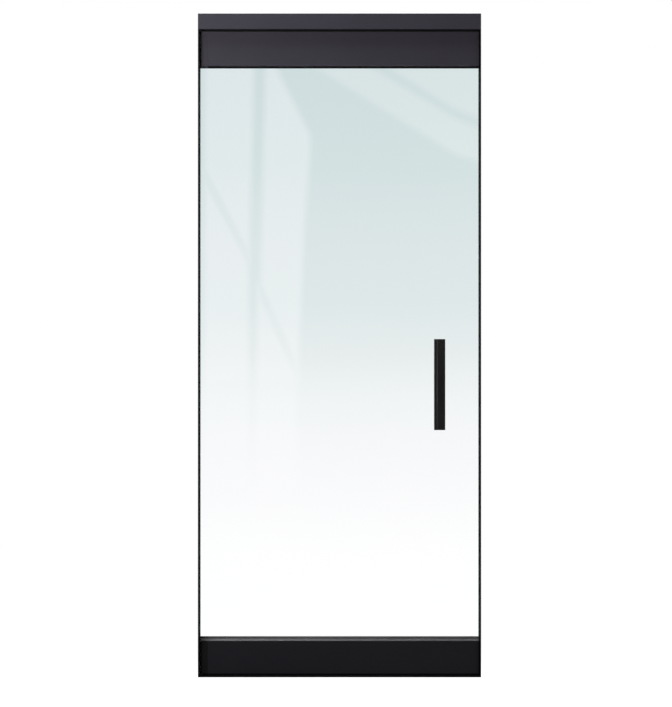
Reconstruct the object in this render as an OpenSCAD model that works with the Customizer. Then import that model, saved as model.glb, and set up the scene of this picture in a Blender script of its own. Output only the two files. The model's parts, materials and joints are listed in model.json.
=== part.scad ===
// Pivot-hung glass entrance door in its frame, in millimetres.
// X runs along the width, the front faces -Y, Z is up.
// The origin is at the middle of the frame's foot. The leaf hangs on pivots near its left edge.

/* [Frame] */
// Overall width of the frame
frame_w = 896; // [760:1:1200]
// Overall height of the frame
frame_h = 2100; // [1900:1:2500]
// Height of the header
header_h = 50; // [47:1:80]
// Depth of the header, front to back
header_d = 100; // [96:1:140]
// Wall of the header extrusion
header_wall = 3; // [3:0.5:4]
// Radius on the header's outer edges
header_edge_r = 1.5; // [0.5:0.5:2.5]
// Thickness of the plate that closes the header from below
soffit_t = 4; // [3:0.5:5]
// Width of the ribs that carry the soffit plate
soffit_rib_w = 9; // [9:0.5:11]
// Height of the ribs that carry the soffit plate
soffit_rib_h = 6; // [5:0.5:8]
// Thickness of each jamb
jamb_t = 4; // [4:0.5:8]
// Height of the sill
sill_h = 7; // [7:0.5:12]
// Width of the ramps along the sill's front and back
sill_ramp = 8; // [4:0.5:8]
// Height of the sill's outer edges below the ramps
sill_edge_h = 2; // [1:0.5:4]
// Width and depth of the grip grooves in the sill
sill_groove = 1.2; // [0.8:0.1:1.6]
// Leg of the corner cleats inside the header
cleat_leg = 22; // [18:1:24]
// Width of the corner cleats
cleat_w = 44; // [34:1:56]
// Thickness of the corner cleats
cleat_t = 4; // [3:0.5:6]
// Distance between a cleat's two screws
cleat_screw_spacing = 22; // [16:1:24]
// Number of soffit screws along each rib
soffit_screw_count = 5; // [3:1:9]
// Distance of the end soffit screws from the jambs
soffit_screw_inset = 44; // [30:1:80]

/* [Running gaps] */
// Gap between the leaf and each jamb
side_gap = 3; // [2.5:0.1:5]
// Gap between the top rail and the header
head_gap = 7; // [5:0.5:10]
// Gap between the bottom rail and the sill
floor_gap = 4; // [3:0.5:6]
// Clearance between a brush and what it seals against
brush_clear = 0.6; // [0.4:0.1:0.8]

/* [Glass] */
// Thickness of the glass
glass_t = 12; // [10:1:15]
// How far the glass stops short of the rails' ends
glass_inset = 1; // [0.5:0.5:2]

/* [Rails] */
// Height of the top rail's covers
top_rail_h = 110; // [100:1:140]
// Height of the bevel along the top rail's glass side
top_bevel = 2; // [2:0.5:8]
// Height of the bottom rail's covers
bottom_rail_h = 112; // [100:1:140]
// Height of the bevel along the bottom rail's glass side
bottom_bevel = 8; // [2:0.5:12]
// Thickness of the snap-on covers
cover_t = 2; // [1.5:0.1:3]
// Gap between a cover's face and the core behind it
snap_gap = 1; // [0.5:0.1:2]
// Depth of the snap grooves in the core
snap_d = 1.5; // [1:0.1:2]
// Height of the snap grooves in the core
snap_h = 3; // [2:0.5:4]
// Wall of the rail core
core_wall = 5; // [5:0.5:8]
// Thickness of the core's web
web_t = 8; // [8:0.5:12]
// Depth of the chamber that holds the pivot hardware
pivot_chamber = 40; // [36:1:42]
// Thickness of the rubber liner beside the glass
liner_t = 2; // [1.5:0.1:3]
// Thickness of the liner under the glass edge
liner_base = 3; // [2:0.5:5]
// Thickness of the pressure bars
bar_t = 5; // [4:0.5:8]
// Gap between a pressure bar and the core's wall
bar_gap = 1; // [0.5:0.1:2]
// How far the pressure bars stop below the core's edge
grip_setback = 6; // [4:0.5:10]
// Width of the gasket between glass and cover
gasket_w = 5; // [4:0.5:6]
// Height of the gasket that shows above the cover
gasket_show = 6.5; // [4:0.5:10]
// Height of the gasket's upright rim above the cover
gasket_rim = 2; // [1:0.5:3]
// Width of the gasket's lip on the glass
gasket_lip = 1.5; // [1:0.1:2]
// Length of the caps at the rails' hinge ends
heel_cap_l = 24; // [16:1:26]
// Thickness of the caps at the rails' lock ends
toe_cap_t = 3; // [3:0.5:6]
// Number of clamp screws along each side of a rail
clamp_count = 6; // [4:1:10]
// Distance of the end clamp screws from the core's ends
clamp_inset = 50; // [30:1:80]
// Radius of the clamp screws
clamp_r = 4; // [3:0.5:5]

/* [Brushes] */
// Thickness of a rail brush
brush_t = 2; // [1.5:0.1:2.5]
// Depth of a rail brush's groove
brush_seat = 4; // [3:0.5:6]
// How far the rail brushes stop short of the hinge end
brush_setback = 4; // [4:0.5:8]
// Width of a jamb brush's pile
pile_w = 3; // [2:0.5:4]
// Width of a jamb brush's backing
pile_back_w = 6; // [5:0.5:8]
// Thickness of a jamb brush's backing
pile_back_t = 1.2; // [1:0.1:1.5]
// Depth of the lips that hold a jamb brush
pile_lip = 1; // [0.8:0.1:1.2]

/* [Pivots] */
// Distance of the pivot axis from the leaf's hinge edge
pivot_offset = 65; // [60:1:80]
// Radius of the bottom pivot pin
pin_r = 8; // [6:0.5:9]
// Height of the pin above the sill
pin_h = 36; // [30:1:38]
// Wall of the pivot bush
bush_wall = 2; // [1.5:0.1:2.5]
// Length of the pivot base plate
base_l = 120; // [110:1:150]
// Width of the pivot base plate
base_w = 40; // [36:1:46]
// Thickness of the pivot base plate
base_t = 5; // [4:0.5:5]
// Distance from the pivot axis to the base plate's hinge end
base_heel = 45; // [40:1:50]
// Distance of the base plate's screws from its ends
base_screw_inset = 16; // [8:1:18]
// Distance between the base plate's screws, front to back
base_screw_spacing = 20; // [16:1:24]
// Outer radius of the thrust washer
washer_r = 13; // [12:0.5:14]
// Reach of the pivot block and top arm towards the hinge side
block_heel = 36; // [30:1:38]
// Reach of the pivot block and top arm towards the lock side
block_toe = 64; // [60:1:90]
// Distance from the pivot axis to the nearer side screw of the block and arm
block_screw_first = 28; // [24:1:32]
// Distance between their side screws
block_screw_pitch = 24; // [16:1:26]
// Radius of the closer spindle
spindle_r = 9; // [7:0.5:10]
// Side of the spindle's square drive
drive_side = 14; // [10:0.5:16]
// Depth of the spindle's square drive in the top arm
drive_depth = 30; // [24:1:36]
// Radius of the spindle's flange
flange_r = 13; // [12:0.5:13.5]
// Thickness of the spindle's flange
flange_t = 2; // [1.5:0.1:3]
// Radius of the soffit's hole round the spindle
spindle_hole_r = 16; // [14:0.5:20]

/* [Closer] */
// Length of the closer body
closer_length = 270; // [220:1:320]
// Depth of the closer body, front to back
closer_d = 62; // [56:1:68]
// Height of the closer body
closer_h = 33; // [28:1:33]
// Distance from the pivot axis to the closer's hinge end
closer_heel = 36; // [32:1:38]
// Radius of the closer's spindle boss
closer_boss_r = 24; // [20:1:28]
// Height of the closer's spindle boss below its body
closer_boss_h = 3; // [2:0.5:3]
// Depth of the spindle's seat in the closer
closer_seat = 24; // [18:1:26]
// Corner radius of the closer body
closer_corner_r = 8; // [4:1:12]
// Distance of the closer's screws from its ends
closer_screw_inset = 22; // [14:1:26]
// Distance between the closer's screws, front to back
closer_screw_spacing = 42; // [34:1:44]
// Radius of the closer's speed valves
valve_r = 5; // [4:0.5:6]
// Distance between the two speed valves
valve_spacing = 28; // [20:1:34]
// Length of the speed valves that stands out of the closer's end
valve_l = 3; // [2:0.5:5]

/* [Handle] */
// Distance of the handle's middle from the leaf's lock edge
handle_inset = 124; // [70:1:200]
// Height of the handle's middle above the floor
handle_z = 926; // [880:1:1150]
// Length of the grip bars
grip_l = 288; // [260:1:500]
// Width of the grip bars
grip_w = 35; // [28:1:45]
// Depth of the grip bars
grip_d = 16; // [14:1:24]
// Radius on the grip bars' long edges
grip_edge_r = 2; // [1:0.5:4]
// Length of the end caps on the grip bars
grip_cap_l = 10; // [6:1:16]
// Width and depth of the reveal between a grip bar and its caps
grip_reveal = 0.8; // [0.4:0.1:1.2]
// Distance of the finger groove's middle from the grip's left edge
groove_inset = 8; // [7:0.5:12]
// Width of the finger groove
groove_w = 6.4; // [4:0.2:7]
// Depth of the finger groove
groove_d = 1.2; // [0.8:0.1:2]
// Free space between glass and grip
standoff = 45; // [38:1:60]
// Distance between the handle's posts
post_spacing = 200; // [160:1:220]
// Radius of the posts
post_r = 9; // [8:0.5:11]
// Radius of the posts' feet
post_foot_r = 13; // [12:0.5:16]
// Height of the posts' feet
post_foot_h = 4; // [3:0.5:6]
// Radius of the posts' spigots in the grip
spigot_r = 5; // [4:0.5:6]
// Length of the posts' spigots in the grip
spigot_l = 7; // [5:0.5:10]
// Radius of the through studs
stud_r = 4; // [3:0.5:5]
// Length of the studs in each post
stud_bite = 20; // [14:1:24]
// Radius of the handle holes in the glass
glass_hole_r = 7; // [6:0.5:8]
// Thickness of the rubber washers on the glass
pad_t = 2; // [1:0.5:3]

/* [Fixings] */
// Radius of the frame and rail screws
screw_r = 2.5; // [2:0.1:2.5]
// Radius of their countersunk heads
screw_head_r = 4.8; // [4.4:0.1:4.8]
// Depth of the frame and rail screws in the piece that takes them
screw_bite = 8; // [6:0.5:9]
// Radius of the small screws in the soffit and end caps
small_screw_r = 2; // [1.5:0.1:2]
// Radius of their countersunk heads
small_head_r = 3.8; // [3.4:0.1:3.8]
// Depth of the small screws in the piece that takes them
small_bite = 5; // [4:0.5:5]
// Radius of the wall and floor fixing holes
fixing_r = 3.25; // [2.5:0.25:3.5]
// Radius of their countersinks
fixing_sink_r = 6; // [5:0.25:6.5]
// Distance between the fixing holes, front to back
fixing_spacing = 66; // [60:1:68]
// Height of the lower jamb fixings
fixing_low = 350; // [200:10:500]
// Distance between the lower and upper jamb fixings
fixing_rise = 1300; // [1100:10:1400]
// Distance between the sill fixings along the width
sill_fixing_spacing = 500; // [400:10:520]

/* [Clearances] */
// Slip fit between flat faces
fit_gap = 0.2; // [0.1:0.05:0.3]
// Running fit of the pivots, on the radius
running_gap = 0.05; // [0.02:0.01:0.08]
// Press fit of the bush, on the radius
press_gap = 0.01; // [0:0.01:0.02]
// Gap round screws and studs, on the radius
screw_gap = 0.1; // [0.05:0.05:0.2]
// Free gap between pieces that turn past each other
free_gap = 0.5; // [0.3:0.1:1]

/* [Hidden] */
$fn = 64;
// How far a cut runs past the face that it opens
overcut = 1;
// Sides of a screw's socket, and its radius and depth as shares of the head
hex = 6;
socket_share = 0.5;
socket_depth_share = 0.4;

charcoal = "#403e46";
near_black = "#1d1c20";
jamb_black = "#0d0d0f";
rubber = "#151517";
pile = "#0b0b0c";
mill = "#a9abad";
steel = "#8d9094";
zinc = "#b9bcbf";
bronze = "#a87f4a";
nylon = "#dcdcd4";
tinted = [0.72, 0.82, 0.82, 0.45];

header_top = frame_h;
header_foot = frame_h - header_h;
header_in = header_top - header_wall;
header_half = header_d / 2;
header_in_half = header_half - header_wall;
soffit_top = header_foot + soffit_t;
frame_half = frame_w / 2;
opening_half = frame_half - jamb_t;
jamb_half_d = header_in_half - fit_gap;
soffit_screw_y = header_in_half - soffit_rib_w / 2;
soffit_screw_span = 2 * (opening_half - soffit_screw_inset);
soffit_screw_xs = [
    for (k = [0 : soffit_screw_count - 1])
        soffit_screw_inset - opening_half + k * soffit_screw_span / (soffit_screw_count - 1)
];

leaf_half = opening_half - side_gap;
leaf_bottom = sill_h + floor_gap;
leaf_top = header_foot - head_gap;
pivot_x = pivot_offset - leaf_half;

glass_half = glass_t / 2;
liner_half = glass_half + liner_t;
bar_half = liner_half + bar_t;
chamber_half = bar_half + bar_gap;
core_half = chamber_half + core_wall;
cover_in = core_half + snap_gap;
rail_half = cover_in + cover_t;
lip_y = glass_half + gasket_w;
brush_y = core_half - core_wall / 2;
chamber_floor = pivot_chamber + web_t;
glass_edge = chamber_floor + liner_base;
core_x0 = heel_cap_l - leaf_half;
core_x1 = leaf_half - toe_cap_t;
cap_screw_y = chamber_half / 2;
cap_screw_t = pivot_chamber + web_t / 2;
clamp_span = core_x1 - core_x0 - 2 * clamp_inset;
clamp_xs = [for (k = [0 : clamp_count - 1]) core_x0 + clamp_inset + k * clamp_span / (clamp_count - 1)];
block_screw_xs = [for (k = [0, 1]) pivot_x + block_screw_first + k * block_screw_pitch];
block_screw_t = pivot_chamber / 2;

bush_in_r = pin_r + running_gap;
bush_out_r = bush_in_r + bush_wall;
bush_h = pin_h - floor_gap;
base_x0 = pivot_x - base_heel;
base_screw_xs = [base_x0 + base_screw_inset, base_x0 + base_l - base_screw_inset];
closer_foot = header_in - closer_h;
closer_x0 = pivot_x - closer_heel;
closer_x1 = closer_x0 + closer_length;
closer_screw_xs = [closer_x0 + closer_screw_inset, closer_x1 - closer_screw_inset];
spindle_seat_foot = closer_foot - closer_boss_h;

handle_x = leaf_half - handle_inset;
grip_in = glass_half + standoff;
grip_out = grip_in + grip_d;
pad_face = glass_half + pad_t;
post_l = grip_in - pad_face;
post_zs = [handle_z - post_spacing / 2, handle_z + post_spacing / 2];

// Placing

// Extrudes a profile drawn in Y and Z along X
module along_x(x0, x1) {
    translate([x0, 0, 0])
        rotate([90, 0, 90])
            linear_extrude(height = x1 - x0)
                children();
}

// A rail's piece, drawn upward from the rail's outer edge, at the foot of the leaf
module at_foot() {
    translate([0, 0, leaf_bottom])
        children();
}

// The same piece, turned over, at the head of the leaf
module at_head() {
    translate([0, 0, leaf_top])
        mirror([0, 0, 1])
            children();
}

// Turns +Z towards +X, -X, +Y or -Y
module facing_right() {
    rotate([0, 90, 0])
        children();
}

module facing_left() {
    rotate([0, -90, 0])
        children();
}

module facing_back() {
    rotate([-90, 0, 0])
        children();
}

module facing_front() {
    rotate([90, 0, 0])
        children();
}

// Screws

// Countersunk screw with its face at the origin and its shank along -Z
module countersunk_screw(r, head_r, length) {
    difference() {
        rotate_extrude()
            polygon([[0, 0], [head_r, 0], [r, r - head_r], [r, -length], [0, -length]]);
        translate([0, 0, -socket_depth_share * head_r])
            cylinder(r = socket_share * head_r, h = head_r, $fn = hex);
    }
}

// Hole for that screw, open above its face
module countersunk_hole(r, head_r, length) {
    hole_r = r + screw_gap;
    sink_r = head_r + screw_gap;
    rotate_extrude()
        polygon([
            [0, overcut], [sink_r, overcut], [sink_r, 0], [hole_r, hole_r - sink_r], [hole_r, -length], [0, -length]
        ]);
}

// Set screw with its socket at the origin and its body along -Z
module set_screw(r, length) {
    difference() {
        translate([0, 0, -length])
            cylinder(r = r, h = length);
        translate([0, 0, -length * socket_share])
            cylinder(r = r * socket_share, h = length, $fn = hex);
    }
}

// Profiles of the frame

// Rectangle with round corners, on its middle in X and standing on Y = 0
module rounded_rect(w, h, r) {
    translate([-w / 2, r])
        square([w, h - 2 * r]);
    translate([r - w / 2, 0])
        square([w - 2 * r, h]);
    for (side = [-1, 1])
        for (y = [r, h - r])
            translate([side * (w / 2 - r), y])
                circle(r = r);
}

module header_profile() {
    difference() {
        translate([0, header_foot])
            rounded_rect(header_d, header_h, header_edge_r);
        translate([-header_in_half, header_foot - overcut])
            square([2 * header_in_half, header_h - header_wall + overcut]);
    }
}

module sill_profile() {
    groove_y = rail_half + sill_groove;
    difference() {
        polygon([
            [-jamb_half_d, 0], [jamb_half_d, 0], [jamb_half_d, sill_edge_h],
            [jamb_half_d - sill_ramp, sill_h], [sill_ramp - jamb_half_d, sill_h],
            [-jamb_half_d, sill_edge_h]
        ]);
        for (side = [-1, 1])
            for (k = [0, 1])
                translate([side * (groove_y + 2 * k * sill_groove) - sill_groove / 2, sill_h - sill_groove])
                    square([sill_groove, sill_groove + overcut]);
    }
}

// Plan of a jamb at x = 0 to jamb_t, its inner face at jamb_t
module jamb_plan() {
    back_depth = pile_lip + pile_back_t + fit_gap;
    difference() {
        translate([0, -jamb_half_d])
            square([jamb_t, 2 * jamb_half_d]);
        translate([jamb_t - pile_lip, -pile_w / 2 - fit_gap])
            square([pile_lip + overcut, pile_w + 2 * fit_gap]);
        translate([jamb_t - back_depth, -pile_back_w / 2 - fit_gap])
            square([back_depth - pile_lip + fit_gap / 2, pile_back_w + 2 * fit_gap]);
    }
}

// Plan of a jamb brush: backing behind the lips, pile out to its clearance from the leaf
module jamb_brush_plan() {
    translate([jamb_t - pile_lip - pile_back_t, -pile_back_w / 2])
        square([pile_back_t, pile_back_w]);
    translate([jamb_t - pile_lip - pile_back_t / 2, -pile_w / 2])
        square([pile_lip + pile_back_t / 2 + side_gap - brush_clear, pile_w]);
}

// Profiles of the rails, with the rail's outer edge at Y = 0 and the glass upward

function shoulder(rail_h, bevel) = rail_h - bevel;
function core_edge(rail_h, bevel) = shoulder(rail_h, bevel) - cover_t - snap_gap;
function grip_edge(rail_h, bevel) = core_edge(rail_h, bevel) - grip_setback;
function snap_ts(rail_h, bevel) = [pivot_chamber / 4, grip_edge(rail_h, bevel)];

module brush_grooves() {
    for (side = [-1, 1])
        translate([side * brush_y - brush_t / 2, -overcut])
            square([brush_t, brush_seat + overcut]);
}

module core_profile(rail_h, bevel) {
    edge = core_edge(rail_h, bevel);
    difference() {
        translate([-core_half, 0])
            square([2 * core_half, edge]);
        translate([-chamber_half, -overcut])
            square([2 * chamber_half, pivot_chamber + overcut]);
        translate([-chamber_half, chamber_floor])
            square([2 * chamber_half, edge]);
        brush_grooves();
        for (side = [-1, 1])
            for (t = snap_ts(rail_h, bevel))
                translate([side * core_half - snap_d, t - snap_h / 2])
                    square([2 * snap_d, snap_h]);
    }
}

// The back cover; the front one is its mirror image
module cover_profile(rail_h, bevel) {
    polygon([
        [core_half, 0], [rail_half, 0], [rail_half, shoulder(rail_h, bevel)], [lip_y, rail_h],
        [lip_y, rail_h - cover_t], [cover_in, shoulder(rail_h, bevel) - cover_t],
        [cover_in, cover_t], [core_half, cover_t]
    ]);
    for (t = snap_ts(rail_h, bevel))
        translate([core_half - snap_d + fit_gap, t - snap_h / 2 + fit_gap])
            square([snap_d + snap_gap + cover_t / 2, snap_h - 2 * fit_gap]);
}

// The back gasket; the front one is its mirror image
module gasket_profile(rail_h, bevel) {
    polygon([
        [glass_half, grip_edge(rail_h, bevel)], [lip_y, grip_edge(rail_h, bevel)],
        [lip_y, rail_h + gasket_rim], [glass_half + gasket_lip, rail_h + gasket_show],
        [glass_half, rail_h + gasket_show]
    ]);
}

module liner_profile(rail_h, bevel) {
    edge = grip_edge(rail_h, bevel);
    difference() {
        translate([-liner_half, chamber_floor])
            square([2 * liner_half, edge - chamber_floor]);
        translate([-glass_half, glass_edge])
            square([glass_t, edge]);
    }
}

// Whole section of a dressed rail, less the brushes
module cap_profile(rail_h, bevel) {
    back_side = [
        [rail_half, 0], [rail_half, shoulder(rail_h, bevel)], [lip_y, rail_h],
        [lip_y, rail_h + gasket_rim], [glass_half + gasket_lip, rail_h + gasket_show]
    ];
    front_side = [for (k = [len(back_side) - 1 : -1 : 0]) [-back_side[k][0], back_side[k][1]]];
    difference() {
        polygon(concat(back_side, front_side));
        brush_grooves();
    }
}

// Pieces that both rails have

// Calls its children at each clamp screw on the core's outer face, facing outward
module at_clamp_screws(rail_h, bevel) {
    t = (chamber_floor + grip_edge(rail_h, bevel)) / 2;
    for (x = clamp_xs) {
        translate([x, core_half, t])
            facing_back()
                children();
        translate([x, -core_half, t])
            facing_front()
                children();
    }
}

// The same for the screws that hold the pivot hardware in a core
module at_block_screws() {
    for (x = block_screw_xs) {
        translate([x, core_half, block_screw_t])
            facing_back()
                children();
        translate([x, -core_half, block_screw_t])
            facing_front()
                children();
    }
}

// The same for the end cap screws, seated toe_cap_t off the core's ends
module at_cap_screws() {
    for (side = [-1, 1]) {
        translate([core_x1 + toe_cap_t, side * cap_screw_y, cap_screw_t])
            facing_right()
                children();
        translate([core_x0 - toe_cap_t, side * cap_screw_y, cap_screw_t])
            facing_left()
                children();
    }
}

module cap_screw_hole() {
    countersunk_hole(small_screw_r, small_head_r, toe_cap_t + small_bite);
}

// Room for the glass in the end caps, whose outer walls close over its edges
module glass_slot(rail_h) {
    slot_half = glass_half + fit_gap;
    slot_end = leaf_half - glass_inset + fit_gap;
    translate([-slot_end, -slot_half, glass_edge - fit_gap])
        cube([2 * slot_end, 2 * slot_half, rail_h]);
}

module block_screw_hole() {
    countersunk_hole(screw_r, screw_head_r, core_wall + screw_bite);
}

module rail_core(rail_h, bevel) {
    difference() {
        along_x(core_x0, core_x1)
            core_profile(rail_h, bevel);
        at_clamp_screws(rail_h, bevel)
            translate([0, 0, -core_wall - overcut])
                cylinder(r = clamp_r + screw_gap, h = core_wall + 2 * overcut);
        at_block_screws()
            block_screw_hole();
        at_cap_screws()
            cap_screw_hole();
    }
}

module rail_toe_cap(rail_h, bevel) {
    difference() {
        along_x(core_x1, leaf_half)
            cap_profile(rail_h, bevel);
        glass_slot(rail_h);
        at_cap_screws()
            cap_screw_hole();
    }
}

// Its end is round about the pivot axis, so that it passes the jamb
module rail_heel_cap(rail_h, bevel) {
    difference() {
        intersection() {
            along_x(-leaf_half, core_x0)
                cap_profile(rail_h, bevel);
            translate([pivot_x, 0, 0])
                cylinder(r = pivot_offset, h = rail_h + gasket_show);
        }
        glass_slot(rail_h);
        at_cap_screws() {
            cap_screw_hole();
            cylinder(r = small_head_r + screw_gap, h = heel_cap_l);
        }
    }
}

module rail_pressure_bars(rail_h, bevel) {
    along_x(core_x0, core_x1)
        for (side = [0, 1])
            mirror([side, 0])
                translate([liner_half, chamber_floor])
                    square([bar_t, grip_edge(rail_h, bevel) - chamber_floor]);
}

module rail_clamp_screws(rail_h, bevel) {
    at_clamp_screws(rail_h, bevel)
        set_screw(clamp_r, core_wall + bar_gap);
}

module rail_brushes(gap) {
    pile_h = gap - brush_clear;
    along_x(brush_setback - leaf_half, leaf_half)
        for (side = [-1, 1])
            translate([side * brush_y - brush_t / 2, -pile_h])
                square([brush_t, brush_seat + pile_h]);
}

// Block in a rail's pivot chamber, with the screw holes in its sides
module pivot_chamber_block() {
    difference() {
        translate([pivot_x - block_heel, -chamber_half, 0])
            cube([block_heel + block_toe, 2 * chamber_half, pivot_chamber]);
        at_block_screws()
            block_screw_hole();
    }
}

module block_screws() {
    at_block_screws()
        countersunk_screw(screw_r, screw_head_r, core_wall + screw_bite);
}

// Frame

module at_soffit_screws() {
    for (x = soffit_screw_xs)
        for (side = [-1, 1])
            translate([x, side * soffit_screw_y, header_foot])
                rotate([180, 0, 0])
                    children();
}

module soffit_screw_hole() {
    countersunk_hole(small_screw_r, small_head_r, soffit_t + small_bite);
}

module at_closer_screws() {
    for (x = closer_screw_xs)
        for (side = [-1, 1])
            translate([x, side * closer_screw_spacing / 2, header_top])
                children();
}

module closer_screw_hole() {
    countersunk_hole(screw_r, screw_head_r, header_wall + screw_bite);
}

// The screws that hold the cleats to the jambs and to the header, facing outward
module at_jamb_cleat_screws() {
    z = header_in - cleat_t - (cleat_leg - cleat_t) / 2;
    for (y = [-cleat_screw_spacing / 2, cleat_screw_spacing / 2]) {
        translate([frame_half, y, z])
            facing_right()
                children();
        translate([-frame_half, y, z])
            facing_left()
                children();
    }
}

module at_header_cleat_screws() {
    x = opening_half - cleat_t - (cleat_leg - cleat_t) / 2;
    for (side = [-1, 1])
        for (y = [-cleat_screw_spacing / 2, cleat_screw_spacing / 2])
            translate([side * x, y, header_top])
                children();
}

module jamb_cleat_hole() {
    countersunk_hole(small_screw_r, small_head_r, jamb_t + cleat_t + overcut);
}

module header_cleat_hole() {
    countersunk_hole(small_screw_r, small_head_r, header_wall + cleat_t + overcut);
}

module header() {
    color(charcoal)
        difference() {
            union() {
                along_x(-frame_half, frame_half)
                    header_profile();
                along_x(-opening_half, opening_half)
                    for (side = [0, 1])
                        mirror([side, 0])
                            translate([header_in_half - soffit_rib_w, soffit_top])
                                square([soffit_rib_w + header_wall / 2, soffit_rib_h]);
            }
            at_soffit_screws()
                soffit_screw_hole();
            at_closer_screws()
                closer_screw_hole();
            at_header_cleat_screws()
                header_cleat_hole();
        }
}

module header_soffit() {
    color(charcoal)
        difference() {
            translate([-opening_half, -jamb_half_d, header_foot])
                cube([2 * opening_half, 2 * jamb_half_d, soffit_t]);
            translate([pivot_x, 0, header_foot - overcut])
                cylinder(r = spindle_hole_r, h = soffit_t + 2 * overcut);
            at_soffit_screws()
                soffit_screw_hole();
        }
}

module soffit_screws() {
    color(zinc)
        at_soffit_screws()
            countersunk_screw(small_screw_r, small_head_r, soffit_t + small_bite);
}

module jamb() {
    difference() {
        translate([-frame_half, 0, 0])
            linear_extrude(height = header_in)
                jamb_plan();
        for (y = [-fixing_spacing / 2, fixing_spacing / 2])
            for (z = [fixing_low, fixing_low + fixing_rise])
                translate([-opening_half, y, z])
                    facing_right()
                        countersunk_hole(fixing_r - screw_gap, fixing_sink_r, jamb_t + overcut);
        at_jamb_cleat_screws()
            jamb_cleat_hole();
    }
}

module jamb_hinge_side() {
    color(jamb_black)
        jamb();
}

module jamb_lock_side() {
    color(jamb_black)
        mirror([1, 0, 0])
            jamb();
}

module jamb_brush() {
    translate([-frame_half, 0, sill_h])
        linear_extrude(height = header_foot - sill_h)
            jamb_brush_plan();
}

module jamb_brush_hinge_side() {
    color(pile)
        jamb_brush();
}

module jamb_brush_lock_side() {
    color(pile)
        mirror([1, 0, 0])
            jamb_brush();
}

module sill() {
    color(jamb_black)
        difference() {
            along_x(-opening_half, opening_half)
                sill_profile();
            translate([base_x0 - fit_gap, -base_w / 2 - fit_gap, sill_h - base_t])
                cube([base_l + 2 * fit_gap, base_w + 2 * fit_gap, base_t + overcut]);
            for (x = [-sill_fixing_spacing / 2, sill_fixing_spacing / 2])
                for (y = [-fixing_spacing / 2, fixing_spacing / 2])
                    translate([x, y, sill_h])
                        countersunk_hole(fixing_r - screw_gap, fixing_sink_r, sill_h + overcut);
            at_base_screws()
                base_screw_hole();
        }
}

module corner_cleat() {
    difference() {
        translate([opening_half - cleat_leg, -cleat_w / 2, header_in - cleat_leg])
            cube([cleat_leg, cleat_w, cleat_leg]);
        translate([opening_half - cleat_leg - overcut, -cleat_w / 2 - overcut, header_in - cleat_leg - overcut])
            cube([cleat_leg - cleat_t + overcut, cleat_w + 2 * overcut, cleat_leg - cleat_t + overcut]);
        at_jamb_cleat_screws()
            jamb_cleat_hole();
        at_header_cleat_screws()
            header_cleat_hole();
    }
}

module corner_cleat_left() {
    color(mill)
        mirror([1, 0, 0])
            corner_cleat();
}

module corner_cleat_right() {
    color(mill)
        corner_cleat();
}

module frame_screws() {
    color(zinc) {
        at_jamb_cleat_screws()
            countersunk_screw(small_screw_r, small_head_r, jamb_t + cleat_t);
        at_header_cleat_screws()
            countersunk_screw(small_screw_r, small_head_r, header_wall + cleat_t);
    }
}

module closer_body() {
    color(steel)
        difference() {
            union() {
                translate([(closer_x0 + closer_x1) / 2, -closer_d / 2, closer_foot])
                    linear_extrude(height = closer_h)
                        rounded_rect(closer_length, closer_d, closer_corner_r);
                translate([pivot_x, 0, spindle_seat_foot])
                    cylinder(r = closer_boss_r, h = closer_boss_h + closer_h / 2);
                for (side = [-1, 1])
                    translate([closer_x1 - valve_l, side * valve_spacing / 2, closer_foot + closer_h / 2])
                        facing_right()
                            cylinder(r = valve_r, h = 2 * valve_l);
            }
            translate([pivot_x, 0, spindle_seat_foot - overcut])
                cylinder(r = spindle_r + running_gap, h = closer_seat + free_gap + overcut);
            at_closer_screws()
                closer_screw_hole();
        }
}

module closer_screws() {
    color(zinc)
        at_closer_screws()
            countersunk_screw(screw_r, screw_head_r, header_wall + screw_bite);
}

module at_base_screws() {
    for (x = base_screw_xs)
        for (y = [-base_screw_spacing / 2, base_screw_spacing / 2])
            translate([x, y, sill_h])
                children();
}

module base_screw_hole() {
    countersunk_hole(screw_r, screw_head_r, sill_h + overcut);
}

module pivot_base() {
    color(steel)
        difference() {
            union() {
                translate([base_x0, -base_w / 2, sill_h - base_t])
                    cube([base_l, base_w, base_t]);
                translate([pivot_x, 0, sill_h - base_t / 2])
                    cylinder(r = pin_r, h = base_t / 2 + pin_h);
            }
            at_base_screws()
                base_screw_hole();
        }
}

module pivot_base_screws() {
    color(zinc)
        at_base_screws()
            countersunk_screw(screw_r, screw_head_r, sill_h);
}

module thrust_washer() {
    color(bronze)
        translate([pivot_x, 0, sill_h])
            difference() {
                cylinder(r = washer_r, h = floor_gap);
                translate([0, 0, -overcut])
                    cylinder(r = pin_r + fit_gap, h = floor_gap + 2 * overcut);
            }
}

// Leaf

module glass() {
    color(tinted)
        difference() {
            translate([glass_inset - leaf_half, -glass_half, leaf_bottom + glass_edge])
                cube([2 * (leaf_half - glass_inset), glass_t, leaf_top - leaf_bottom - 2 * glass_edge]);
            for (z = post_zs)
                translate([handle_x, 0, z])
                    facing_back()
                        cylinder(r = glass_hole_r, h = glass_t + 2 * overcut, center = true);
        }
}

module top_core() {
    color(mill)
        at_head()
            rail_core(top_rail_h, top_bevel);
}

module top_cover_front() {
    color(charcoal)
        at_head()
            along_x(core_x0, core_x1)
                mirror([1, 0])
                    cover_profile(top_rail_h, top_bevel);
}

module top_cover_back() {
    color(charcoal)
        at_head()
            along_x(core_x0, core_x1)
                cover_profile(top_rail_h, top_bevel);
}

module top_heel_cap() {
    color(charcoal)
        at_head()
            rail_heel_cap(top_rail_h, top_bevel);
}

module top_toe_cap() {
    color(charcoal)
        at_head()
            rail_toe_cap(top_rail_h, top_bevel);
}

module top_gasket_front() {
    color(rubber)
        at_head()
            along_x(core_x0, core_x1)
                mirror([1, 0])
                    gasket_profile(top_rail_h, top_bevel);
}

module top_gasket_back() {
    color(rubber)
        at_head()
            along_x(core_x0, core_x1)
                gasket_profile(top_rail_h, top_bevel);
}

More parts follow.
